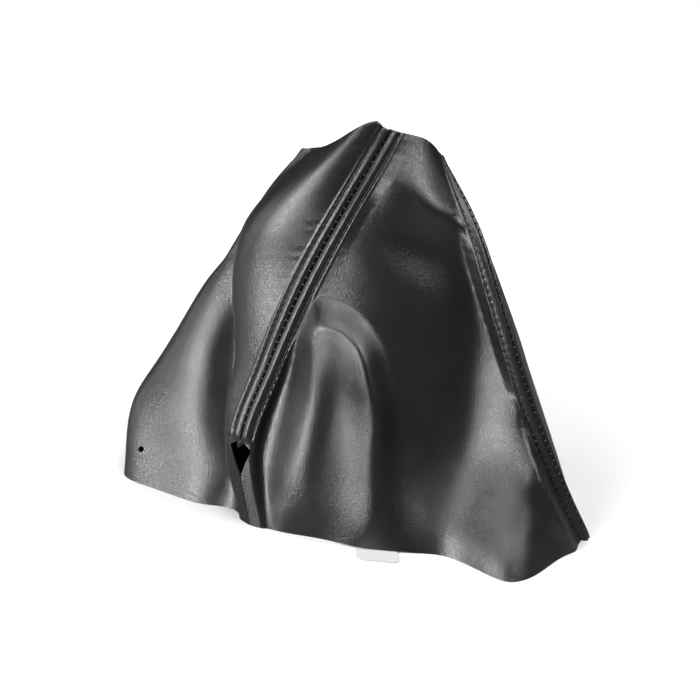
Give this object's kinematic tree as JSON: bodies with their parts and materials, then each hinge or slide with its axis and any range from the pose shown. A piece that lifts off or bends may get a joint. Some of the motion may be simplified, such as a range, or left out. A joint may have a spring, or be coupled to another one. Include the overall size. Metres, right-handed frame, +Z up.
{
  "type": "gear lever gaiter",
  "caption": "Soft black leatherette gaiter for a gear lever, a tapering sleeve of four sewn panels that stands on its hem, with folds, ribbed stitched seams and a turned-in neck.",
  "frame": {"origin": "middle of the footprint's box, on the surface that the hem rests on", "axes": "+Z up through the neck, -Y towards the broad front panel, +X towards the right panel"},
  "size_m": [0.2064, 0.186, 0.1756],
  "materials": {
    "leatherette": "satin",
    "thread": "matte",
    "tab": "matte"
  },
  "bodies": {
    "root": {"front_left_joining_thread": "thread", "front_panel": "leatherette", "front_panel_left_top_thread": "thread", "front_panel_right_top_thread": "thread", "front_right_joining_thread": "thread", "hem_tab": "tab", "left_panel": "leatherette", "left_panel_left_top_thread": "thread", "left_panel_right_top_thread": "thread", "rear_left_joining_thread": "thread", "rear_panel": "leatherette", "rear_panel_left_top_thread": "thread", "rear_panel_right_top_thread": "thread", "rear_right_joining_thread": "thread", "right_panel": "leatherette", "right_panel_left_top_thread": "thread", "right_panel_right_top_thread": "thread"}
  },
  "joints": []
}
